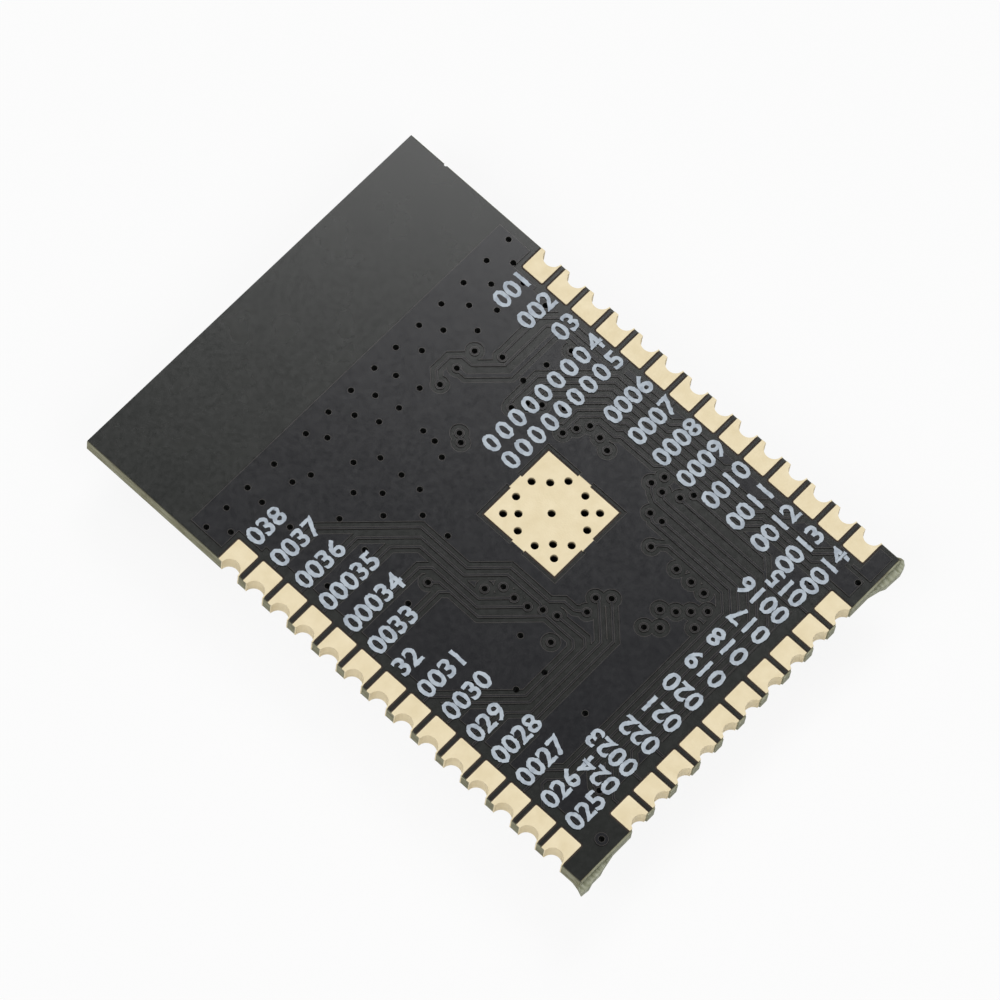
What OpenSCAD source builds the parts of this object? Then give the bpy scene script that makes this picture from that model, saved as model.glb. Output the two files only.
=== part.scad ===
// Surface-mount wifi module, lying on its shield can with the solder side up.
// X runs across the board, Y along it towards the antenna, Z up.
// The outer face of the can is at z = 0 and the board lies on top of it.

/* [Board] */
// Width of the board over its castellated sides
board_w = 17.98; // [17.9:0.02:18.1]
// Length of the board, antenna end included
board_l = 25.3; // [25.3:0.05:25.6]
// Thickness of the bare laminate
core_t = 0.71; // [0.5:0.01:1.2]
// Thickness of the solder mask over bare laminate
mask_t = 0.02; // [0.01:0.005:0.03]
// Height of the etched copper relief under the solder mask
relief_h = 0.04; // [0.02:0.005:0.06]

/* [Terminals] */
// Distance between neighbouring terminals
pitch = 1.27; // [1.24:0.01:1.28]
// Terminals down each long side
side_count = 14; // [10:1:14]
// Terminals along the short end
end_count = 10; // [6:1:10]
// Width of a terminal on the solder side
pad_w = 1.02; // [0.9:0.01:1.05]
// Length of a side terminal, in from the edge
side_pad_l = 1.1; // [0.9:0.01:1.2]
// Length of an end terminal, in from the edge
end_pad_l = 0.99; // [0.9:0.01:1.1]
// Radius of the plated half hole in each terminal
hole_r = 0.4; // [0.3:0.01:0.42]

/* [Ground pad] */
// Side of the square ground pad
ground_w = 3.62; // [3.4:0.02:3.7]
// Radius of a thermal via
thermal_r = 0.16; // [0.1:0.01:0.18]

/* [Shield can] */
// Width of the can over its walls
can_w = 15.8; // [15.6:0.1:16]
// Length of the can over its walls
can_l = 17.6; // [17.4:0.1:17.8]
// Height of the can
can_h = 2.3; // [2.2:0.05:3]
// Thickness of the can's sheet
can_t = 0.2; // [0.15:0.01:0.25]

/* [Hidden] */
$fn = 32;
EPS = 0.01;

// ---- outline
board_y = 0.11;                      // centre of the board along Y
side_edge = board_w / 2;
end_edge = board_l / 2 - board_y;    // distance of the snapped end from the origin
mask_setback = 0.07;                 // bare laminate beyond the mask at the snapped end
side_setback = 0.04;                 // the same along the castellated sides

// ---- levels, from the can's face up
top_mask_t = 0.03;                   // mask and copper on the component side
z_parts = can_h;                     // surface that the components stand on
z_core = can_h + top_mask_t;         // component face of the laminate
z_solder = z_core + core_t;          // solder face of the laminate
z_floor = z_solder + mask_t;         // mask where the copper is etched away
z_top = z_floor + relief_h;          // mask over copper
plated_t = 0.045;                    // plated copper of a terminal
z_pad = z_solder + plated_t;

// ---- terminals
plating_t = 0.05;                    // wall of a half hole
first_side_y = 5.39;                 // terminal nearest to the antenna
side_hole = [-0.01, -0.08];          // axis of a half hole from the edge and the pad's centre
end_hole = [-0.15, 0];
pad_corner = 0.06;
upper_pad_w = 0.9;                   // the smaller lands on the component side
upper_pad_l = 0.65;
window_gap = 0.07;                   // mask opening beyond a terminal
side_ys = [for (i = [0:side_count - 1]) first_side_y - pitch * i];
end_xs = [for (j = [0:end_count - 1]) pitch * (j - (end_count - 1) / 2)];

// ---- ground pad
ground_at = [1.13, -1.83];
ground_gap = 0.08;                   // mask opening beyond the pad
ground_moat = 0.2;                   // copper clearance around the pad
spoke_w = 0.62;
spoke_l = 0.1;
thermal_wall = 0.03;
upper_ground_lip = 0.1;              // the pad is this much wider on the component side
thermal_at = [
    [0, 0],
    for (s = [-1, 1], t = [-1, 1]) [0.89 * s, 0.89 * t],
    for (s = [-1, 1], t = [-1, 1]) [0.435 * s, 1.43 * t],
    for (s = [-1, 1], t = [-1, 1]) [1.42 * s, 0.435 * t],
    [-1.29, 1.31], [-1.29, -1.31], [1.29, -1.31],
];

// ---- etched tracks on the solder side
track_w = 0.12;
gap_w = 0.16;
via_land_r = 0.21;
via_r = 0.16;                        // drilled hole, plugged with mask
dimple_r = 0.12;                     // sunken middle of a plug
dimple_d = 0.3;                      // its depth below the solder face
sliver = 0.02;                       // half the narrowest neck or gap left in the mask

// ---- shield can
can_y = -2.83;                       // centre of the can along the board
can_corner_r = 0.6;
can_bend_r = 0.3;

// ---- antenna
antenna_t = 0.04;
antenna_w = 0.5;
antenna_meanders = 5;

/* ---------- 2D helpers ---------- */

function left_of(a, b) = let (d = (b - a) / norm(b - a)) [-d[1], d[0]];

// The path moved sideways by d, with mitred corners
function shifted(path, d) = let (last = len(path) - 1) [
    for (i = [0:last]) let (
        n0 = left_of(path[max(i - 1, 0)], path[max(i, 1)]),
        n1 = left_of(path[min(i, last - 1)], path[min(i + 1, last)]),
        m = n0 + n1
    ) path[i] + m * 2 * d / (m * m)
];

function reversed(list) = [for (i = [len(list) - 1:-1:0]) list[i]];

module stroke(path, w) {
    polygon(concat(shifted(path, w / 2), reversed(shifted(path, -w / 2))));
}

// The outline a hair larger, without necks and gaps narrower than twice d
module trimmed(d) {
    offset(delta = d + EPS) offset(delta = -2 * d) offset(delta = d) children();
}

module round_rect(w, l, r) {
    square([w - 2 * r, l], center = true);
    square([w, l - 2 * r], center = true);
    for (s = [-1, 1], t = [-1, 1]) {
        translate([s * (w / 2 - r), t * (l / 2 - r)]) circle(r);
    }
}

/* ---------- terminals ---------- */

// In a terminal's own frame the board edge is x = 0 and the board lies at +x.
module at_left() {
    for (y = side_ys) translate([-side_edge, y, 0]) children();
}
module at_right() {
    for (y = side_ys) translate([side_edge, y, 0]) mirror([1, 0, 0]) children();
}
module at_end() {
    for (x = end_xs) translate([x, -end_edge, 0]) rotate([0, 0, 90]) children();
}

// A pad from the board edge inwards, with round inner corners
module land(l, w, r) {
    translate([0, r - w / 2]) square([l, w - 2 * r]);
    translate([0, -w / 2]) square([l - r, w]);
    for (s = [-1, 1]) translate([l - r, s * (w / 2 - r)]) circle(r);
}

// Solder-side pad, component-side land and the plated half hole that joins them
module terminal(l, hole) {
    difference() {
        union() {
            translate([0, 0, z_solder]) linear_extrude(plated_t) land(l, pad_w, pad_corner);
            translate([0, hole[1], z_parts]) {
                linear_extrude(top_mask_t) land(upper_pad_l, upper_pad_w, pad_corner / 2);
                linear_extrude(z_pad - z_parts) intersection() {
                    translate([hole[0], 0]) circle(hole_r + plating_t);
                    translate([0, -1]) square([1, 2]);
                }
            }
        }
        translate([hole[0], hole[1], z_parts - 1]) cylinder(r = hole_r, h = z_pad - z_parts + 2);
    }
}

module left_terminals() {
    color([0.93, 0.86, 0.69]) at_left() terminal(side_pad_l, side_hole);
}
module right_terminals() {
    color([0.93, 0.86, 0.69]) at_right() terminal(side_pad_l, side_hole);
}
module end_terminals() {
    color([0.93, 0.86, 0.69]) at_end() terminal(end_pad_l, end_hole);
}

/* ---------- laminate ---------- */

// Glass fibres left standing where the board was snapped off its panel
break_left = [
    [-8.9, -12.1], [-9, -12.3], [-9.06, -12.58], [-9.17, -12.85], [-8.78, -12.89],
    [-8.5, -12.81], [-8.05, -12.81], [-7.85, -12.75], [-7, -12.58], [-8.3, -12.3],
];
break_right = [
    [8.9, -12.2], [9.08, -12.34], [9.17, -12.5], [9.18, -12.64], [9.04, -12.8],
    [8.75, -12.88], [7.95, -12.84], [7.75, -12.74], [7.1, -12.58], [8.3, -12.3],
];
break_t = 0.45;
nick_at = [side_edge, 10.95];
nick_r = 0.07;

// The board inside these margins at its sides and at its snapped end
module board_2d(side, end) {
    translate([side - side_edge, end - end_edge]) square([board_w - 2 * side, board_l - end]);
}

module laminate() {
    color([0.6, 0.62, 0.45]) difference() {
        union() {
            translate([0, 0, z_core]) linear_extrude(core_t) board_2d(0, -mask_setback);
            translate([0, 0, z_core]) linear_extrude(break_t) polygon(break_left);
            translate([0, 0, z_core]) linear_extrude(break_t) polygon(break_right);
        }
        half_hole_cuts();
        for (p = thermal_at) {
            translate([ground_at[0] + p[0], ground_at[1] + p[1], z_parts]) {
                cylinder(r = thermal_r + thermal_wall, h = core_t + 1);
            }
        }
        at_vias(z_parts) cylinder(r = via_r, h = core_t + 1);
        nick_cut();
    }
}

// Holes on the board edge, one for each terminal and its plating
module half_hole_cuts() {
    module hole_cut(at) {
        translate([at[0], at[1], z_parts - 1]) cylinder(r = hole_r + plating_t, h = core_t + 3);
    }
    at_left() hole_cut(side_hole);
    at_right() hole_cut(side_hole);
    at_end() hole_cut(end_hole);
}

module nick_cut() {
    translate([nick_at[0], nick_at[1], z_parts - 1]) cylinder(r = nick_r, h = core_t + 2);
}

/* ---------- ground pad ---------- */

module ground_2d() {
    square(ground_w, center = true);
    for (a = [0, 90]) {
        rotate(a) square([spoke_w, ground_w + 2 * spoke_l], center = true);
    }
}

module ground_pad() {
    color([0.93, 0.86, 0.69]) translate([ground_at[0], ground_at[1], 0]) difference() {
        union() {
            translate([0, 0, z_solder]) linear_extrude(plated_t) ground_2d();
            translate([0, 0, z_parts]) {
                linear_extrude(top_mask_t) square(ground_w + 2 * upper_ground_lip, center = true);
            }
            for (p = thermal_at) {
                translate([p[0], p[1], z_core - EPS]) {
                    cylinder(r = thermal_r + thermal_wall, h = core_t + 2 * EPS);
                }
            }
        }
        for (p = thermal_at) {
            translate([p[0], p[1], z_parts - 1]) cylinder(r = thermal_r, h = core_t + 3);
        }
    }
}

/* ---------- solder side: mask over the etched copper ---------- */

// Fan of tracks from the controller out to the right-hand terminals.
// Each one starts at a via, runs down a diagonal x + y = c, drops, and jogs aside twice.
fan_starts = [
    [[4.8, -0.45]],
    [[3.85, 0.1], [4.81, 0.1]],
    [[4.1, 0.36], [4.95, 0.36]],
    [[4.65, 0.75], [4.8, 0.91]],
    [[4.15, 1.45], [4.65, 1.45]],
    [[4.35, 1.8], [4.7, 1.8]],
    [[3.8, 1.9], [4.0, 2.1], [4.8, 2.1]],
    [[3.25, 2.2], [3.4, 2.38], [4.92, 2.38]],
];
fan_ends = [
    [[5.58, -5.2], [5.45, -5.3]],
    [[5.86, -7.4], [6.3, -7.84], [6.3, -11], [6.2, -11.1], [6.2, -11.7]],
    [[6.14, -7.28], [6.56, -7.7], [6.56, -10.2], [7.1, -10.74], [8, -10.74]],
    [[6.42, -7.17], [6.85, -7.6], [6.85, -10.05], [7.45, -10.65], [8, -10.65]],
    [[6.7, -7.05], [7.12, -7.47], [7.12, -8.2], [7.6, -8.68], [8, -8.68]],
    [[6.98, -5.3], [7.6, -5.92], [8, -5.92]],
    [[7.27, -4.15], [7.65, -4.53], [8, -4.53]],
    [[7.27, -1.75], [7.6, -2.08], [8, -2.08]],
];
fan_c = 4.51;
fan_upper_x = 5.12;                  // first track between the diagonal and the first jog
fan_x = 5.295;                       // the same between the jogs
fan_step = 0.28;
jog_ys = [-1.42, -3.3];              // turns of the first track into its two jogs
jog_rise = 0.116;                    // from one track's turn to the next one's
fan = [for (k = [0:len(fan_starts) - 1]) let (
    c = fan_c + sqrt(2) * fan_step * k,
    upper = fan_upper_x + fan_step * k,
    x = fan_x + fan_step * k,
    y1 = jog_ys[0] + jog_rise * k,
    y2 = jog_ys[1] + jog_rise * k,
    second_jog = k < 7 ? [[x, y2], [x + fan_step, y2 - fan_step]] : []
) concat(fan_starts[k], [[upper, c - upper], [upper, y1], [x, y1 + upper - x]], second_jog, fan_ends[k])];

// Tracks that run down the middle and turn along the end of the board
column_tops = [
    [[2.75, -5.45], [3, -5.6]],
    [[3.75, -4.5], [3.55, -4.8]],
    [[3.8, -5.05], [3.84, -5.3]],
    [[4.7, -3.7], [4.4, -4]],
    [[4.7, -4.25], [4.55, -4.5]],
    [[5, -4.9], [4.97, -5.2]],
];
column_tails = [
    [[-6.1, -9.2], [-6.65, -8.65], [-8, -8.65]],
    [[-6.35, -9.51], [-6.92, -8.94], [-7.15, -8.94], [-8, -9.79]],
    [[-5.3, -9.82], [-5.85, -10.37], [-5.85, -10.65]],
    [[-4.6, -10.13], [-5.72, -11.25], [-5.72, -11.7]],
    [[-3.85, -10.44], [-4.45, -11.04], [-4.45, -11.7]],
    [[-2.85, -10.75], [-3.18, -11.08], [-3.18, -11.7]],
];
column_xs = [3.235, 3.545, 3.84, 4.23, 4.54, 4.965];
row_y = -9.2;
row_step = 0.31;
column_turn = 0.6;                   // rise and run of the first column's last diagonal
column_turn_step = 0.18;
columns = [for (m = [0:len(column_tops) - 1]) let (
    x = column_xs[m],
    row = row_y - row_step * m,
    y = row + column_turn + column_turn_step * m,
    top = column_tops[m][1][1]
) concat(column_tops[m], [[x, top - 0.3], [x, y], [x - (y - row), row]], column_tails[m])];

// Single tracks: over the top right, down the left, across the lower left, and one at the end
singles = [
    [[2.05, 4.8], [2.05, 4.95], [2.42, 5.32], [3.14, 5.32], [3.5, 4.96], [3.5, 4.47],
        [4.395, 3.575], [6.7, 3.575], [7.28, 2.995], [7.28, 1.8], [7.9, 1.7]],
    [[4.55, 3.87], [4.7, 3.985], [6.75, 3.985], [7.45, 3.285], [8, 3.285]],
    [[-8, 4.13], [-5.55, 4.13], [-2.735, 1.315], [-2.735, -1.05], [-1.57, -2.215], [-1.57, -4.2],
        [-1.18, -4.6], [-1.18, -5.1], [-0.9, -5.5]],
    [[-8, 2.75], [-4.75, 2.75], [-3.04, 1.04], [-3.04, -1.17], [-1.875, -2.335], [-1.875, -4],
        [-2, -4.25]],
    [[-8, 1.6], [-4.15, 1.6], [-3.345, 0.795], [-3.345, -2.205], [-2.4, -3.15]],
    [[-8, 0.25], [-4, 0.25], [-3.65, -0.1], [-3.65, -2.4], [-2.3, -3.75]],
    [[-8, -0.95], [-4.2, -0.95], [-3.9, -1.25], [-3.9, -2.7], [-2.1, -4.5], [-2.1, -5.88],
        [-2.34, -6.12], [-4.97, -6.12], [-7.55, -3.54], [-8, -3.54]],
    [[-4.2, -0.4], [-3.9, -0.7], [-3.9, -1.3]],
    [[-1.8, -4.8], [-1.75, -6.15], [-2, -6.41], [-5.07, -6.41], [-6.72, -4.76], [-8, -4.76]],
    [[-0.25, -5.35], [-0.25, -5.51], [-1.45, -6.71], [-5.33, -6.71], [-6, -6.04], [-8, -6.04]],
    [[0.15, -5.8], [-1.07, -7.02], [-5.6, -7.02], [-5.88, -7.3], [-8, -7.3]],
    [[5.45, -5.2], [5.44, -5.6], [5.44, -8.82], [4.67, -9.59], [4.67, -10.85], [4.9, -11.08],
        [4.9, -11.7]],
];
wide_track_w = 0.2;
wide_track = [
    [3, 4.8], [3, 4.35], [4.225, 3.125], [6.7, 3.125], [7.02, 2.805], [7.02, 0.75], [7.4, 0.37],
    [8, 0.37],
];
tracks = concat(fan, columns, singles);

// Vias with a land of their own inside the pour
signal_vias = [
    [2.05, 4.8], [3, 4.8], [4, 4.8], [4.55, 3.87], [6.6, 2.15], [1.1, 2.9], [0.85, 2.6],
    [3.25, 2.2], [3.8, 1.9], [4.15, 1.45], [4.65, 0.75], [3.85, 0.1], [4.35, -0.15],
    [4.8, -0.45], [4.7, -1.05], [4.5, -1.6], [4.7, -3.7], [5.22, -3.9], [4.7, -4.25],
    [3.75, -4.5], [3.8, -5.05], [5, -4.9], [5.45, -5.2], [2.75, -5.45], [2.75, -6.75],
    [2.75, -7.5], [2.75, -8.15], [2.3, -8.75], [1.85, -8.3], [1.45, -7.9], [1.1, -7.4],
    [1.45, -8.85], [0.55, -7.9], [0.15, -7.45], [0.15, -5.8], [-0.25, -5.35], [-0.9, -5.5],
    [-1.8, -4.8], [-2, -4.25], [-2.3, -3.75], [-2.4, -3.15], [-2.35, -2.55], [-2.9, -2.1],
    [-2.75, -5.35], [-4.2, -0.4], [-5.85, -10.65],
];
// Vias that stitch the pour to the inner ground
stitch_vias = [
    [-8.4, 7.1], [-7.3, 7.1], [-6.15, 7.1], [-4.75, 7.05], [-3, 7.05], [-1.75, 7.05],
    [-0.5, 7.05], [0.8, 7.05], [2, 7.05], [3.3, 7.05], [4.55, 7.05], [5.8, 7.05],
    [7.1, 7.05], [8.35, 7.05],
    [-7.9, 6.3], [-6.2, 6.3], [-2.55, 6.35], [-1.15, 6.25], [0, 6.25], [1.15, 6.25],
    [2.6, 6.25], [3.8, 6.25], [5.25, 6.25], [6.5, 6.25], [7.75, 6.25],
    [-4.8, 6.05], [-4.1, 5.75], [-0.7, 5.4], [0.25, 5.25], [1.4, 5.25], [4.7, 5.3],
    [5.85, 5.35], [7.4, 5.4], [-6.2, 4.85], [-2.6, 4.95], [-1.75, 4.35], [7.3, 4.15],
    [-3.5, 4.1], [0.2, 3.95], [-4.65, 3.75], [0.2, 3.35], [-2.75, 3.3], [-1.7, 3.3],
    [-3.4, 2.65], [-0.1, 2.7], [4.4, 2.65], [-1.65, 2.4], [5.5, 2.45], [-4.9, 2.2],
    [-6.95, 2.2], [-2.35, 1.6], [-2.3, 0.35], [-5.35, -0.45], [-3.35, -4.35], [-6.05, -4.35],
    [-5.05, -5.7], [-3.8, -6], [-7.05, -7.15], [-3.95, -8.2], [6.05, -8.25], [5.9, -10.75],
    [7.15, -12.05],
];

module pad_windows_2d() {
    at_left() window_2d(side_pad_l);
    at_right() window_2d(side_pad_l);
    at_end() window_2d(end_pad_l);
    translate(ground_at) square(ground_w + 2 * ground_gap, center = true);
}

module window_2d(l) {
    translate([-1, 0]) land(l + 1 + window_gap, pad_w + 2 * window_gap, pad_corner + window_gap);
}

// The copper pour: all of the board but the antenna end, the rows of terminals and the corners
pour_outline = [
    [-8.6, 7.74], [8.6, 7.74], [8.6, 6.12], [7.65, 6.12], [7.65, 4.93], [7.45, 4.93],
    [7.45, 3.6], [7.58, 3.4], [7.58, -11.25], [7.34, -11.25], [7.34, -12.2], [6.48, -12.2],
    [6.48, -11.05], [-7.42, -11.05], [-7.42, 4.93], [-7.65, 4.93], [-7.65, 6.12], [-8.6, 6.12],
];
corner_outline = [
    [7.48, -12.38], [7.48, -11.4], [7.62, -11.4], [7.62, -11.72], [8.8, -11.72], [8.8, -12.38],
];
corner_via = [-7.2, -12];            // stands alone in the left corner
corner_land_r = 0.28;

// Where the copper is etched away under the mask
module etched_2d() {
    difference() {
        board_2d(side_setback, 0);
        difference() {
            union() {
                polygon(pour_outline);
                polygon(corner_outline);
            }
            for (t = tracks) stroke(t, track_w + 2 * gap_w);
            stroke(wide_track, wide_track_w + 2 * gap_w);
            for (v = signal_vias) translate(v) circle(via_land_r + gap_w, $fn = 14);
            translate(ground_at) square(ground_w + 2 * ground_moat, center = true);
        }
        for (t = tracks) stroke(t, track_w);
        stroke(wide_track, wide_track_w);
        for (v = signal_vias) translate(v) circle(via_land_r, $fn = 12);
        translate(corner_via) circle(corner_land_r, $fn = 12);
        translate(ground_at) for (a = [0, 90]) {
            rotate(a) square([spoke_w, ground_w + 3 * ground_moat], center = true);
        }
    }
}

// Mask over the solder face, with a plug down each via
module underside_mask() {
    color([0.18, 0.18, 0.2]) difference() {
        union() {
            translate([0, 0, z_solder]) linear_extrude(z_top - z_solder) board_2d(side_setback, 0);
            at_vias(z_core) cylinder(r = via_r, h = core_t + EPS);
        }
        translate([0, 0, z_solder - 1]) linear_extrude(2) pad_windows_2d();
        half_hole_cuts();
        translate([0, 0, z_floor]) linear_extrude(1) trimmed(sliver) etched_2d();
        at_vias(z_solder - dimple_d) cylinder(r = dimple_r, h = 1);
        nick_cut();
    }
}

module at_vias(z) {
    for (v = concat(signal_vias, stitch_vias, [corner_via])) translate([v[0], v[1], z]) children();
}

/* ---------- component side ---------- */

module shield_ring_2d(margin) {
    translate([0, can_y]) difference() {
        square([can_w + 2 * margin, can_l + 2 * margin], center = true);
        square([can_w - 2 * can_t - 2 * margin, can_l - 2 * can_t - 2 * margin], center = true);
    }
}

// Meandered antenna: feed and shorted legs, then turns along the end of the board
module antenna_2d() {
    leg_y = can_y + can_l / 2 + 0.35;
    end_y = board_y + board_l / 2 - 0.55;
    step = 2.25;
    start_x = -5.4;
    turn_l = 3.4;
    for (x = [-7.6, start_x]) {
        translate([x - antenna_w / 2, leg_y]) square([antenna_w, end_y - leg_y]);
    }
    translate([-7.6 - antenna_w / 2, end_y - antenna_w]) square([start_x + 7.6 + antenna_w, antenna_w]);
    for (i = [0:antenna_meanders - 1]) {
        x = start_x + step * i;
        up = i % 2 == 0;
        y = up ? end_y - antenna_w : end_y - turn_l;
        translate([x - antenna_w / 2, y]) square([step + antenna_w, antenna_w]);
        translate([x + step - antenna_w / 2, end_y - turn_l]) square([antenna_w, turn_l]);
    }
}

module antenna_trace() {
    color([0.3, 0.26, 0.2]) translate([0, 0, z_core - antenna_t]) {
        linear_extrude(antenna_t) antenna_2d();
    }
}

module shield_land() {
    color([0.8, 0.8, 0.78]) translate([0, 0, z_parts]) {
        linear_extrude(top_mask_t) shield_ring_2d(0.15);
    }
}

module component_mask() {
    color([0.18, 0.18, 0.2]) difference() {
        translate([0, 0, z_parts]) linear_extrude(top_mask_t) board_2d(side_setback, 0);
        translate([0, 0, z_parts - 1]) linear_extrude(2) {
            at_left() upper_window_2d(side_hole);
            at_right() upper_window_2d(side_hole);
            at_end() upper_window_2d(end_hole);
            antenna_2d();
            translate(ground_at) square(ground_w + 2 * upper_ground_lip + 0.1, center = true);
        }
        translate([0, 0, z_parts - 1]) linear_extrude(2) shield_ring_2d(0.15);
        half_hole_cuts();
        nick_cut();
    }
}

module upper_window_2d(hole) {
    margin = 0.05;
    translate([-1, hole[1]]) {
        land(upper_pad_l + 1 + margin, upper_pad_w + 2 * margin, pad_corner / 2);
    }
}

/* ---------- shield can ---------- */

// A drawn cup: plan corners of radius corner_r, and a bend of radius bend_r round its face
module cup(w, l, h, corner_r, bend_r) {
    intersection() {
        linear_extrude(h) round_rect(w, l, corner_r);
        rotate([90, 0, 0]) linear_extrude(2 * l, center = true) bent_profile(w, h, bend_r);
        rotate([90, 0, 90]) linear_extrude(2 * w, center = true) bent_profile(l, h, bend_r);
    }
}

module bent_profile(w, h, r) {
    translate([-w / 2, r]) square([w, h]);
    translate([-w / 2 + r, 0]) square([w - 2 * r, h]);
    for (s = [-1, 1]) translate([s * (w / 2 - r), r]) circle(r);
}

module shield_can() {
    feed_notch = [1.6, 0.5];
    color([0.78, 0.78, 0.76]) translate([0, can_y, 0]) difference() {
        cup(can_w, can_l, can_h, can_corner_r, can_bend_r);
        translate([0, 0, can_t]) {
            cup(can_w - 2 * can_t, can_l - 2 * can_t, can_h + 1, can_corner_r - can_t, can_bend_r - can_t);
        }
        // The feed line of the antenna leaves through this notch
        translate([-6.1, can_l / 2 - 0.5, can_h - feed_notch[1]]) {
            cube([feed_notch[0], 1, feed_notch[1] + 1]);
        }
    }
}

/* ---------- parts under the can ---------- */

// Parts hang from the board, so each is drawn with its foot at z = 0 and turned over.
module hung(at, turn) {
    translate([at[0], at[1], z_parts]) rotate([180, 0, turn]) children();
}

// Controller in a flat leadless package on the thermal pad
controller_w = 6;
controller_h = 0.85;
lead_t = 0.05;
controller_lead = [0.2, 0.4];
controller_pitch = 0.4;

module controller_package() {
    color([0.12, 0.12, 0.13]) hung(ground_at, 0) {
        translate([0, 0, lead_t]) linear_extrude(controller_h - lead_t) {
            difference() {
                square(controller_w, center = true);
                translate([-controller_w / 2, -controller_w / 2]) rotate(45) square(0.4, center = true);
            }
        }
    }
}

module controller_pads() {
    lead_span = controller_w / 2 - controller_lead[1] / 2;
    color([0.8, 0.78, 0.7]) hung(ground_at, 0) {
        linear_extrude(lead_t) square(3.7, center = true);
        for (side = [0:3], i = [-5.5:5.5]) rotate([0, 0, 90 * side]) {
            translate([lead_span, i * controller_pitch, lead_t / 2]) {
                cube([controller_lead[1], controller_lead[0], lead_t], center = true);
            }
        }
    }
}

// Flash memory in an eight-lead small-outline package
flash_at = [-0.6, -8.15];
flash_w = 5.3;
flash_l = 5.2;
flash_h = 1.8;
flash_stand = 0.1;
flash_reach = 3.95;                  // half the span over the lead tips
flash_lead_w = 0.42;
flash_lead_t = 0.2;

module flash_package() {
    draft = 0.15;
    mid = 0.85;
    color([0.1, 0.1, 0.11]) hung(flash_at, 0) {
        intersection() {
            rotate([90, 0, 0]) linear_extrude(flash_l, center = true) polygon([
                [-flash_w / 2 + draft, flash_stand], [flash_w / 2 - draft, flash_stand],
                [flash_w / 2, mid], [flash_w / 2, mid + flash_lead_t],
                [flash_w / 2 - draft, flash_h], [-flash_w / 2 + draft, flash_h],
                [-flash_w / 2, mid + flash_lead_t], [-flash_w / 2, mid],
            ]);
            rotate([90, 0, 90]) linear_extrude(flash_w + 1, center = true) polygon([
                [-flash_l / 2 + draft, flash_stand], [flash_l / 2 - draft, flash_stand],
                [flash_l / 2, mid], [flash_l / 2, mid + flash_lead_t],
                [flash_l / 2 - draft, flash_h], [-flash_l / 2 + draft, flash_h],
                [-flash_l / 2, mid + flash_lead_t], [-flash_l / 2, mid],
            ]);
        }
    }
}

// One gull-wing lead, from the body out and down to its foot
module gull_lead() {
    out = flash_w / 2;
    knee = out + 0.3;
    foot = flash_reach - 0.65;
    mid = 0.85;
    rotate([90, 0, 0]) linear_extrude(flash_lead_w, center = true) polygon([
        [out, mid], [knee - 0.05, mid], [foot - 0.1, 0], [flash_reach, 0],
        [flash_reach, flash_lead_t], [foot + 0.05, flash_lead_t],
        [knee + 0.1, mid + flash_lead_t], [out, mid + flash_lead_t],
    ]);
}

module flash_leads() {
    color([0.8, 0.8, 0.78]) hung(flash_at, 0) {
        for (s = [0, 1], i = [-1.5:1.5]) {
            rotate([0, 0, 180 * s]) translate([0, i * pitch, 0]) gull_lead();
        }
    }
}

// Crystal: a ceramic tray with a welded metal lid
crystal_at = [-5.4, -2.6];
crystal_size = [2.5, 3.2, 0.55];
crystal_lid_t = 0.15;

module crystal_base() {
    color([0.75, 0.68, 0.55]) hung(crystal_at, 0) linear_extrude(crystal_size[2]) {
        round_rect(crystal_size[0], crystal_size[1], 0.15);
    }
}

module crystal_lid() {
    inset = 0.15;
    color([0.82, 0.82, 0.8]) hung(crystal_at, 0) {
        translate([0, 0, crystal_size[2]]) linear_extrude(crystal_lid_t) {
            round_rect(crystal_size[0] - 2 * inset, crystal_size[1] - 2 * inset, 0.2);
        }
    }
}

// Chip parts: place, turn
chip_size = [1, 0.5];
chip_end = 0.25;
capacitors = [
    [[-2.9, 3.4], 0], [[-2.9, 2.4], 0], [[-0.6, 2.3], 90], [[0.3, 2.3], 90], [[1.9, 2.2], 90],
    [[2.8, 2.2], 90], [[5.2, 0.6], 90], [[6.1, 0.6], 90], [[5.2, -1.4], 90], [[6.1, -1.4], 90],
    [[-3, -0.2], 0], [[-3, -1.2], 0], [[-6.9, 0.6], 90], [[-4.2, 0.2], 90], [[5.6, -4.4], 0],
    [[5.6, -5.4], 0], [[4.9, -7.4], 90], [[5.9, -7.4], 90],
];
resistors = [
    [[5.6, -3.4], 0], [[-6.2, -6.2], 0], [[-6.2, -7.2], 0], [[-6.2, -8.2], 0], [[4.9, -9.8], 90],
    [[5.9, -9.8], 90],
];
inductors = [
    [[-5.3, 4.6], 90], [[-4.2, 4.6], 0], [[3.8, 3.2], 90], [[4.8, 3.2], 90],
];
capacitor_h = 0.5;
resistor_h = 0.35;
inductor_h = 0.55;

module chip_bodies(list, h) {
    for (c = list) hung(c[0], c[1]) linear_extrude(h) {
        square([chip_size[0] - 2 * chip_end, chip_size[1]], center = true);
    }
}

module chip_ends(list, h) {
    for (c = list) hung(c[0], c[1]) for (s = [-1, 1]) {
        translate([s * (chip_size[0] - chip_end) / 2, 0, 0]) {
            linear_extrude(h) square([chip_end, chip_size[1]], center = true);
        }
    }
}

module capacitor_bodies() {
    color([0.7, 0.58, 0.42]) chip_bodies(capacitors, capacitor_h);
}
module capacitor_ends() {
    color([0.82, 0.82, 0.8]) chip_ends(capacitors, capacitor_h);
}
module resistor_bodies() {
    color([0.1, 0.1, 0.1]) chip_bodies(resistors, resistor_h);
}
module resistor_ends() {
    color([0.82, 0.82, 0.8]) chip_ends(resistors, resistor_h);
}
module inductor_bodies() {
    color([0.85, 0.86, 0.84]) chip_bodies(inductors, inductor_h);
}
module inductor_ends() {
    color([0.82, 0.82, 0.8]) chip_ends(inductors, inductor_h);
}

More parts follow.
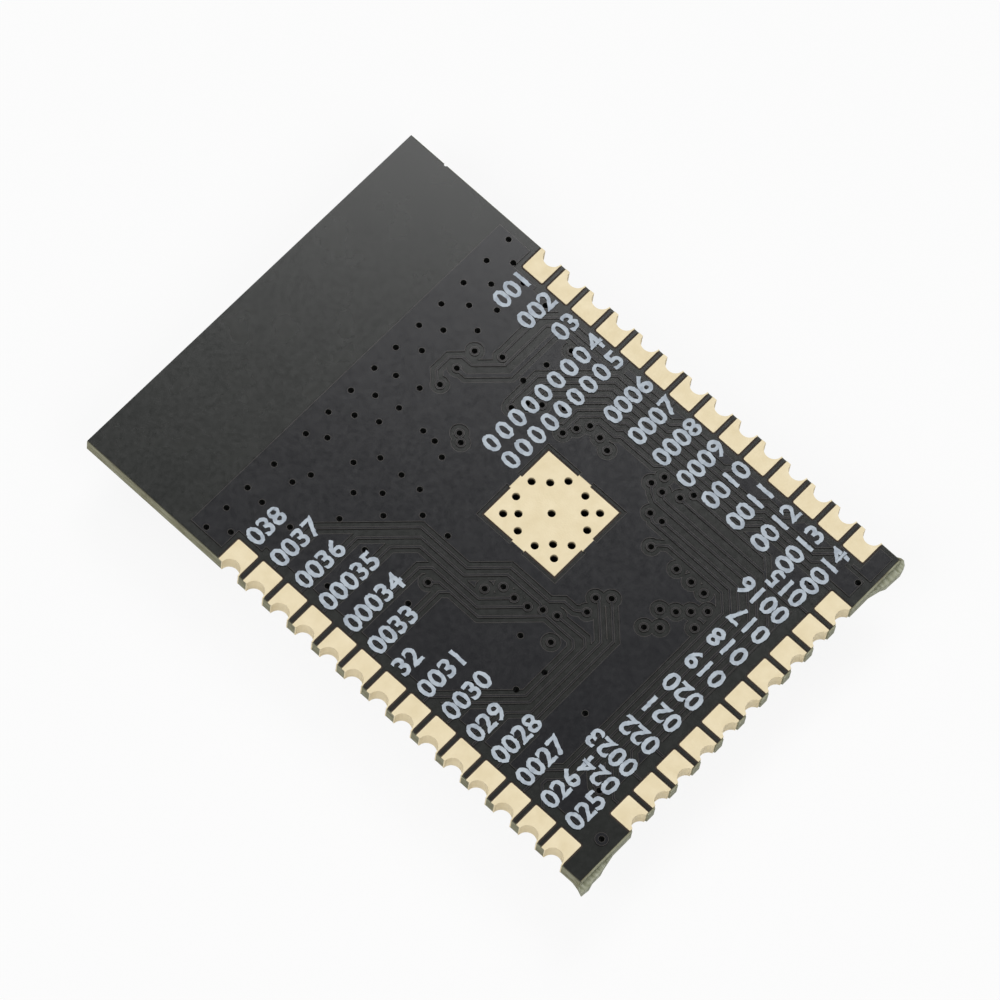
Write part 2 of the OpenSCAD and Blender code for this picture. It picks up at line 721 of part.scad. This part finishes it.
laminate();
underside_mask();
component_mask();
left_terminals();
right_terminals();
end_terminals();
ground_pad();
antenna_trace();
shield_land();
shield_can();
controller_package();
controller_pads();
flash_package();
flash_leads();
crystal_base();
crystal_lid();
capacitor_bodies();
capacitor_ends();
resistor_bodies();
resistor_ends();
inductor_bodies();
inductor_ends();
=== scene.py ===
"""Wifi module, lying on its shield can with the solder side up. Sizes in metres."""

import math

import bmesh
import bpy
from mathutils import Matrix, Quaternion, Vector, noise as field


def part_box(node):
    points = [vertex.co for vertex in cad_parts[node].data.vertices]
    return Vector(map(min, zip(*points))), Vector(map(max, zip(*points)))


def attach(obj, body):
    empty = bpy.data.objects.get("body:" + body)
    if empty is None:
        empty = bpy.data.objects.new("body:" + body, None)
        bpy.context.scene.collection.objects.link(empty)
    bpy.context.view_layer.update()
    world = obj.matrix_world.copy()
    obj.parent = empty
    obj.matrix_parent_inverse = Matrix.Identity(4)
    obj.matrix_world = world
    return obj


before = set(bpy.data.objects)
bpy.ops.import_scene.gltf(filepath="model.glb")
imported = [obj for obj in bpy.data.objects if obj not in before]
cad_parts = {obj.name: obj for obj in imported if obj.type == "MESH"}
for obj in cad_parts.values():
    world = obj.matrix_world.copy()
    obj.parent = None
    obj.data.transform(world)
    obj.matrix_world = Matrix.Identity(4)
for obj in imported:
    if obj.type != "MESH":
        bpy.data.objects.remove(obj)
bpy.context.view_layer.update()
MM = 0.001
scene = bpy.context.scene
scene.view_settings.view_transform = "Standard"
field.seed_set(1)  # otherwise the noise differs from run to run

# ---------------------------------------------------------------- camera

AIM = Vector((0.156, -0.066, 3.10)) * MM  # on the solder face
DISTANCE = 260.4 * MM
AZIMUTH = math.radians(-56.70)  # of the viewing direction, from +Y towards -X
ELEVATION = math.radians(67.07)
ROLL = math.radians(-10.22)
LENS_MM = 248.07
SENSOR_MM = 36.0
NEAREST = 10 * MM  # that the camera sees


def add_camera():
    heading = Vector((-math.sin(AZIMUTH), math.cos(AZIMUTH), 0.0))
    forward = heading * math.cos(ELEVATION) - Vector((0, 0, 1)) * math.sin(ELEVATION)
    turn = Quaternion(forward, ROLL) @ forward.to_track_quat("-Z", "Y")
    data = bpy.data.cameras.new("camera")
    data.lens = LENS_MM
    data.sensor_width = SENSOR_MM
    data.clip_start = NEAREST
    camera = bpy.data.objects.new("camera", data)
    stand = Matrix.Translation(AIM - forward * DISTANCE)
    camera.matrix_world = stand @ turn.to_matrix().to_4x4()
    scene.collection.objects.link(camera)
    scene.camera = camera


add_camera()

# ---------------------------------------------------------------- levels and edges, in millimetres

Z_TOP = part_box("underside_mask")[1][2] / MM  # mask over copper
Z_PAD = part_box("left_terminals")[1][2] / MM
Z_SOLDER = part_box("laminate")[1][2] / MM
SIDE_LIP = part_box("right_terminals")[1][0] / MM - 0.04  # where the mask ends along the sides
END_EDGE = -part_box("underside_mask")[0][1] / MM

# ---------------------------------------------------------------- materials

CORNER_SAMPLES = 6
RIM_HIGHLIGHT_MM = 0.03  # band along the copper's rims where the mask is thin and paler, partly a painted highlight on the rounded edges
RIM_HIGHLIGHT_COLOR = (0.075, 0.068, 0.062)
FOOT_SHADE_MM = 0.1  # band of painted shade beside them, where the copper is etched away
FOOT_SHADE_COLOR = (0.004, 0.004, 0.004)
HOLE_SHADE_COLOR = (0.012, 0.009, 0.006)  # painted shade inside the thermal vias
GROUND_HOLE_MM = 0.2  # depth at which they are that dark
LIP_COLOR = (0.07, 0.068, 0.045)  # bare laminate along the castellated sides
RESIN_COLOR = (0.032, 0.019, 0.013)  # the solder face between mask and terminals
CREAM = (0.84, 0.73, 0.5)  # immersion gold
TIN = (0.66, 0.65, 0.62)

def material(name, color, rough, metal=0.0):
    m = bpy.data.materials.new(name)
    m.use_nodes = True
    shader = m.node_tree.nodes["Principled BSDF"]
    shader.inputs["Base Color"].default_value = (*color, 1.0)
    shader.inputs["Roughness"].default_value = rough
    shader.inputs["Metallic"].default_value = metal
    return m


def node(m, kind, **values):
    """A new node with its settings and the values of its inputs."""
    n = m.node_tree.nodes.new(kind)
    for key, value in values.items():
        if hasattr(n, key):
            setattr(n, key, value)
        else:
            n.inputs[key].default_value = value
    return n


def link(m, out, socket):
    m.node_tree.links.new(out, socket)


def shader_of(m):
    return m.node_tree.nodes["Principled BSDF"]


def object_coords(m, stretch=(1, 1, 1)):
    """Object coordinates in millimetres, squeezed along the axes by stretch."""
    coords = node(m, "ShaderNodeTexCoord")
    mapping = node(m, "ShaderNodeMapping")
    mapping.inputs["Scale"].default_value = [s / MM for s in stretch]
    link(m, coords.outputs["Object"], mapping.inputs["Vector"])
    return mapping.outputs["Vector"]


def noise(m, scale, detail=2.0, stretch=(1, 1, 1)):
    n = node(m, "ShaderNodeTexNoise", Scale=scale, Detail=detail)
    link(m, object_coords(m, stretch), n.inputs["Vector"])
    return n.outputs["Fac"]


def ramp(m, factor, stops):
    """A colour ramp from (place, colour) stops."""
    r = node(m, "ShaderNodeValToRGB")
    while len(r.color_ramp.elements) < len(stops):
        r.color_ramp.elements.new(0.5)
    for element, (place, color) in zip(r.color_ramp.elements, stops):
        element.position = place
        element.color = (*color, 1.0)
    link(m, factor, r.inputs["Fac"])
    return r.outputs["Color"]


def grey(v):
    return (v, v, v)


def bump(m, height, depth_mm):
    b = node(m, "ShaderNodeBump", Strength=1.0, Distance=depth_mm * MM)
    link(m, height, b.inputs["Height"])
    link(m, b.outputs["Normal"], shader_of(m).inputs["Normal"])


def place(m):
    """The object coordinates in millimetres, as three separate sockets."""
    split = node(m, "ShaderNodeSeparateXYZ")
    link(m, object_coords(m), split.inputs[0])
    return split.outputs


def span(m, value, low, high):
    """0 below low, 1 above high."""
    n = node(m, "ShaderNodeMapRange")
    for socket, number in zip(n.inputs[1:5], (low, high, 0.0, 1.0)):
        socket.default_value = number
    link(m, value, n.inputs[0])
    return n.outputs[0]


def blend(m, factor, a, b):
    """Colour a where factor is 0 and b where it is 1; each is a colour or a socket."""
    n = node(m, "ShaderNodeMix", data_type="RGBA")
    link(m, factor, n.inputs["Factor"])
    for socket, value in ((n.inputs[6], a), (n.inputs[7], b)):
        if isinstance(value, tuple):
            socket.default_value = (*value, 1.0)
        else:
            link(m, value, socket)
    return n.outputs[2]


def maths(m, operation, a, b=None):
    n = node(m, "ShaderNodeMath", operation=operation)
    link(m, a, n.inputs[0])
    if b is not None:
        link(m, b, n.inputs[1])
    return n.outputs[0]


def multiply(m, a, b):
    return maths(m, "MULTIPLY", a, b)


def absolute(m, a):
    return maths(m, "ABSOLUTE", a)


def corners(m, distance_mm, inside):
    """1 away from concave corners, or from convex ones where inside, and less near them."""
    n = node(
        m, "ShaderNodeAmbientOcclusion", samples=CORNER_SAMPLES, only_local=True, inside=inside,
        Distance=distance_mm * MM,
    )
    return n.outputs["AO"]


def solder_mask():
    """Black mask: bluish over copper, greener over laminate, thin and pale on the copper's rims,
    partly as a painted highlight, with painted shade at their feet.
    """
    m = material("solder_mask", (0.016, 0.016, 0.018), 0.3)
    z = place(m)["Z"]
    on_copper = span(m, z, Z_TOP - 0.012, Z_TOP - 0.004)
    over_copper = ramp(m, noise(m, 0.5, 3.0), [
        (0.3, (0.006, 0.0063, 0.0085)),
        (0.7, (0.009, 0.0093, 0.0115)),
    ])
    over_laminate = ramp(m, noise(m, 0.7, 3.0), [
        (0.3, (0.011, 0.0125, 0.011)),
        (0.7, (0.015, 0.0165, 0.0145)),
    ])
    # Painted highlight: the copper's rims are paler, partly from the thin mask there.
    rim_highlight = span(m, corners(m, RIM_HIGHLIGHT_MM, True), 0.95, 0.6)
    over_copper = blend(m, rim_highlight, over_copper, RIM_HIGHLIGHT_COLOR)
    # Painted shade: the mask darkens in the concave feet beside the copper.
    foot_shade = span(m, corners(m, FOOT_SHADE_MM, False), 0.9, 0.55)
    over_laminate = blend(m, foot_shade, over_laminate, FOOT_SHADE_COLOR)
    link(m, blend(m, on_copper, over_laminate, over_copper), shader_of(m).inputs["Base Color"])
    rough = ramp(m, noise(m, 5.0, 4.0), [(0.3, grey(0.16)), (0.7, grey(0.21))])
    link(m, rough, shader_of(m).inputs["Roughness"])
    return m


def plated(name, color, shade_depth_mm=0.0):
    """Gold finish: pale, satin, a little mottled; painted shade down its holes if they have a
    depth.
    """
    m = material(name, color, 0.55, 0.15)
    low = tuple(c * k for c, k in zip(color, (0.95, 0.93, 0.88)))
    high = tuple(min(c * 1.04, 1.0) for c in color)
    tone = ramp(m, noise(m, 1.6, 5.0), [(0.3, low), (0.7, high)])
    if shade_depth_mm:
        z = place(m)["Z"]
        near_face = span(m, z, Z_PAD - shade_depth_mm, Z_PAD - 0.02)
        # Painted shade: the holes darken with depth below the pad face.
        tone = blend(m, near_face, HOLE_SHADE_COLOR, tone)
    link(m, tone, shader_of(m).inputs["Base Color"])
    rough = ramp(m, noise(m, 11.0, 3.0), [(0.3, grey(0.48)), (0.7, grey(0.62))])
    link(m, rough, shader_of(m).inputs["Roughness"])
    bump(m, noise(m, 14.0, 3.0), 0.006)
    return m


def glass_laminate():
    """Glass-epoxy board: layers of fibre on its cut edges, dark resin beside the mask."""
    m = material("laminate_edge", (0.3, 0.28, 0.2), 0.7)
    layers = noise(m, 1.0, 5.0, stretch=(1.2, 1.2, 22))
    edge = ramp(m, layers, [
        (0.28, (0.09, 0.075, 0.035)),
        (0.45, (0.2, 0.19, 0.11)),
        (0.62, (0.3, 0.3, 0.2)),
        (0.8, (0.46, 0.46, 0.36)),
    ])
    x, y, z = place(m)
    # Fibre left at the snapped end is frayed and pale.
    frayed = ramp(m, noise(m, 1.0, 5.0, stretch=(9, 3, 6)), [
        (0.3, (0.2, 0.21, 0.13)),
        (0.5, (0.36, 0.37, 0.27)),
        (0.75, (0.5, 0.52, 0.42)),
    ])
    end = span(m, y, -END_EDGE - 0.1, -END_EDGE - 0.02)
    tone = blend(m, end, frayed, edge)
    facing = node(m, "ShaderNodeNewGeometry")
    up = node(m, "ShaderNodeSeparateXYZ")
    link(m, facing.outputs["Normal"], up.inputs[0])
    level = span(m, z, Z_SOLDER - 0.05, Z_SOLDER - 0.02)
    up_face = multiply(m, span(m, up.outputs["Z"], 0.8, 0.9), level)
    resin = multiply(m, up_face, span(m, y, -END_EDGE - 0.02, -END_EDGE))
    resin = multiply(m, resin, span(m, absolute(m, x), SIDE_LIP, SIDE_LIP - 0.02))
    side_lip = multiply(m, up_face, span(m, absolute(m, x), SIDE_LIP - 0.01, SIDE_LIP))
    tone = blend(m, side_lip, tone, LIP_COLOR)
    link(m, blend(m, resin, tone, RESIN_COLOR), shader_of(m).inputs["Base Color"])
    bump(m, noise(m, 1.0, 5.0, stretch=(6, 6, 30)), 0.02)
    return m


def sheet_metal():
    m = material("shield_metal", (0.62, 0.61, 0.58), 0.34, 1.0)
    bump(m, noise(m, 1.0, 3.0, stretch=(1, 14, 1)), 0.004)
    return m


looks = {
    "underside_mask": solder_mask(),
    "laminate": glass_laminate(),
    "left_terminals": plated("terminal_plating", CREAM),
    "shield_can": sheet_metal(),
}
looks["component_mask"] = looks["underside_mask"]
for name in ("right_terminals", "end_terminals"):
    looks[name] = looks["left_terminals"]
looks["ground_pad"] = plated("ground_plating", CREAM, GROUND_HOLE_MM)
looks["antenna_trace"] = material("antenna_copper", (0.03, 0.026, 0.022), 0.5)
looks["shield_land"] = material("solder", TIN, 0.4, 1.0)
looks["controller_package"] = material("mould_compound", (0.02, 0.02, 0.021), 0.6)
looks["flash_package"] = looks["controller_package"]
looks["resistor_bodies"] = material("resistor_glaze", (0.015, 0.015, 0.016), 0.4)
looks["capacitor_bodies"] = material("capacitor_ceramic", (0.42, 0.28, 0.15), 0.5)
looks["inductor_bodies"] = material("inductor_ceramic", (0.7, 0.71, 0.68), 0.5)
looks["crystal_base"] = material("crystal_ceramic", (0.25, 0.2, 0.14), 0.5)
looks["crystal_lid"] = material("crystal_lid", (0.75, 0.74, 0.7), 0.25, 1.0)
# Painted shade: these solder pads, seen down the thermal vias, are coloured dark.
looks["controller_pads"] = material("tin_in_painted_shade", (0.12, 0.11, 0.1), 0.6, 0.5)
for name in ("flash_leads", "capacitor_ends", "resistor_ends", "inductor_ends"):
    looks[name] = looks["shield_land"]

for name, look in looks.items():
    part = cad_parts[name]
    part.data.materials.clear()
    part.data.materials.append(look)

# ---------------------------------------------------------------- soft edges


FLAT_WITHIN = math.radians(1)
SHARP_FROM = math.radians(30)


def soften(name, width_mm):
    """Round edges of this width, on faces that are first made whole."""
    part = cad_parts[name]
    flat = part.modifiers.new("flat", "DECIMATE")
    flat.decimate_type = "DISSOLVE"
    flat.angle_limit = FLAT_WITHIN
    edge = part.modifiers.new("edge", "BEVEL")
    edge.width = width_mm * MM
    edge.segments = 2
    edge.limit_method = "ANGLE"
    edge.angle_limit = SHARP_FROM
    edge.use_clamp_overlap = True


soften("underside_mask", 0.018)
for name in ("left_terminals", "right_terminals", "end_terminals"):
    soften(name, 0.02)

# ---------------------------------------------------------------- terminal numbers in white ink

INK_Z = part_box("underside_mask")[1][2] + 0.004 * MM
DIGIT_SIZE = 1.07 * MM  # gives figures 0.78 mm high
DIGIT_WIDTH = 1.08  # figures are this much wider than the font's
DIGIT_SPACING = 0.99
WIDE_SPACING = 1.26  # of numbers of more than MOST_DIGITS figures
MOST_DIGITS = 5
STROKE_EXTRA = 0.025 * MM
ROUGH_STEP = 0.12 * MM
ROUGHNESS = 0.032 * MM  # how far the print strays from a clean outline
FINE_WAVES = 2.7  # waves this much shorter and FINE_SHARE as high lie on the main ones
FINE_SHARE = 0.6
SAME_POINT = 0.001 * MM
ROW_FIRST_Y = 5.49 * MM
ROW_STEP = 1.257 * MM
LEFT_X = -7.65 * MM
RIGHT_X = 7.77 * MM
CLOSE_NUMBER = 4  # this one of the right row stands nearer to the one before it,
NEARER = 0.2  # by this share of a step
END_Y = -11.1 * MM
END_XS = [-5.38, -4.37, -3.14, -1.92, -0.71, 0.55, 1.8, 3.03, 4.14, 5.13]


def legend_ink():
    m = material("legend_ink", (0.44, 0.5, 0.57), 0.6)
    worn = ramp(m, noise(m, 4.0, 4.0), [(0.32, (0.35, 0.4, 0.46)), (0.6, (0.48, 0.54, 0.6))])
    link(m, worn, shader_of(m).inputs["Base Color"])
    bump(m, noise(m, 12.0, 2.0), 0.01)
    return m


ink = legend_ink()


def roughen(mesh):
    """Outlines that waver as screen-printed ink does."""
    bm = bmesh.new()
    bm.from_mesh(mesh)
    bmesh.ops.remove_doubles(bm, verts=bm.verts, dist=SAME_POINT)
    for _ in range(4):
        long = [e for e in bm.edges if e.is_boundary and e.calc_length() > ROUGH_STEP]
        bmesh.ops.subdivide_edges(bm, edges=long, cuts=1)
    for v in bm.verts:
        if v.is_boundary:
            at_wave = v.co / ROUGH_STEP
            fine = FINE_SHARE * field.noise_vector(FINE_WAVES * at_wave)
            stray = field.noise_vector(at_wave) + fine
            v.co += Vector((stray.x, stray.y, 0)) * ROUGHNESS
    bmesh.ops.triangulate(bm, faces=bm.faces)
    bm.to_mesh(mesh)
    bm.free()


def figures(text, matrix, align, spacing):
    """The mesh of one number."""
    curve = bpy.data.curves.new("figures", "FONT")
    curve.body = text
    curve.size = DIGIT_SIZE
    curve.space_character = spacing
    curve.offset = STROKE_EXTRA
    curve.align_x = align
    curve.align_y = "CENTER"
    curve.resolution_u = 4
    writing = bpy.data.objects.new("figures", curve)
    scene.collection.objects.link(writing)
    bpy.context.view_layer.update()
    graph = bpy.context.evaluated_depsgraph_get()
    mesh = bpy.data.meshes.new_from_object(writing.evaluated_get(graph))
    mesh.transform(matrix @ Matrix.Diagonal((DIGIT_WIDTH, 1, 1, 1)))
    roughen(mesh)
    bpy.data.objects.remove(writing)
    return mesh


def legend(name, labels, place_of):
    """One piece from several numbers: place_of(i) gives the matrix and the alignment of each."""
    points, faces = [], []
    for i, text in enumerate(labels):
        spacing = WIDE_SPACING if len(text) > MOST_DIGITS else DIGIT_SPACING
        mesh = figures(text, *place_of(i), spacing)
        start = len(points)
        points += [v.co.copy() for v in mesh.vertices]
        faces += [[start + v for v in p.vertices] for p in mesh.polygons]
        bpy.data.meshes.remove(mesh)
    mesh = bpy.data.meshes.new(name)
    mesh.from_pydata(points, [], faces)
    mesh.materials.append(ink)
    piece = bpy.data.objects.new(name, mesh)
    scene.collection.objects.link(piece)
    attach(piece, "root")


def padded(numbers, digits):
    """The numbers as text, each with zeros up to its own count of digits."""
    return ["%0*d" % (d, n) for n, d in zip(numbers, digits)]


right_labels = padded(range(1, 15), [3, 3, 2, 9, 9, 4, 4, 4, 4, 4, 4, 4, 4, 4])
end_labels = padded(range(24, 14, -1), [3, 4, 3, 3, 3, 3, 3, 3, 4, 3])
left_labels = padded(range(38, 24, -1), [3, 4, 4, 5, 5, 4, 2, 4, 4, 3, 4, 4, 3, 3])


def at(x, y, turn=0.0):
    return Matrix.Translation((x, y, INK_Z)) @ Matrix.Rotation(math.radians(turn), 4, "Z")


def left_place(i):
    return at(LEFT_X, ROW_FIRST_Y - ROW_STEP * i), "LEFT"


def right_place(i):
    nearer = NEARER * ROW_STEP if i == CLOSE_NUMBER else 0.0
    return at(RIGHT_X, ROW_FIRST_Y - ROW_STEP * i + nearer), "RIGHT"


def end_place(i):
    return at(END_XS[i] * MM, END_Y, 90), "LEFT"


legend("left_numbers", left_labels, left_place)
legend("right_numbers", right_labels, right_place)
legend("end_numbers", end_labels, end_place)

# ---------------------------------------------------------------- floor and light


PANEL_DISTANCE = 0.5
FLOOR_HALF = 0.6
FLOOR_GLOW = 0.88  # share of plain white in the floor that the camera sees
WORLD_STRENGTH = 0.2


def floor_paper():
    """Pale paper, which the camera sees as nearly white."""
    m = material("floor_paper", grey(0.8), 0.9)
    glow = node(m, "ShaderNodeEmission", Strength=1.0)
    path = node(m, "ShaderNodeLightPath")
    share = node(m, "ShaderNodeMath", operation="MULTIPLY")
    share.inputs[1].default_value = FLOOR_GLOW
    mix = node(m, "ShaderNodeMixShader")
    link(m, path.outputs["Is Camera Ray"], share.inputs[0])
    link(m, share.outputs[0], mix.inputs["Fac"])
    link(m, shader_of(m).outputs["BSDF"], mix.inputs[1])
    link(m, glow.outputs["Emission"], mix.inputs[2])
    link(m, mix.outputs["Shader"], m.node_tree.nodes["Material Output"].inputs["Surface"])
    return m


def add_floor():
    h = FLOOR_HALF
    mesh = bpy.data.meshes.new("floor")
    mesh.from_pydata([(-h, -h, 0), (h, -h, 0), (h, h, 0), (-h, h, 0)], [], [(0, 1, 2, 3)])
    floor = bpy.data.objects.new("floor", mesh)
    scene.collection.objects.link(floor)
    mesh.materials.append(floor_paper())


def add_world():
    world = bpy.data.worlds.new("world")
    world.use_nodes = True
    back = world.node_tree.nodes["Background"]
    back.inputs["Color"].default_value = (1, 1, 1, 1)
    back.inputs["Strength"].default_value = WORLD_STRENGTH
    scene.world = world


def add_panel(name, azimuth, elevation, size, watts):
    """A square soft light. Azimuth from +Y towards -X, as seen from the object."""
    a, e = math.radians(azimuth), math.radians(elevation)
    toward = Vector((-math.sin(a) * math.cos(e), math.cos(a) * math.cos(e), math.sin(e)))
    data = bpy.data.lights.new(name, "AREA")
    data.shape = "SQUARE"
    data.size = size
    data.energy = watts
    lamp = bpy.data.objects.new(name, data)
    stand = Matrix.Translation(toward * PANEL_DISTANCE)
    lamp.matrix_world = stand @ (-toward).to_track_quat("-Z", "Y").to_matrix().to_4x4()
    scene.collection.objects.link(lamp)


add_floor()
add_world()
add_panel("key", 80, 45, 0.3, 1.05)
add_panel("fill", 170, 50, 0.3, 0.78)
# The mask mirrors the near edge of this one, which gives the sheen its slope.
add_panel("far", -57, 49.5, 0.24, 0.9)
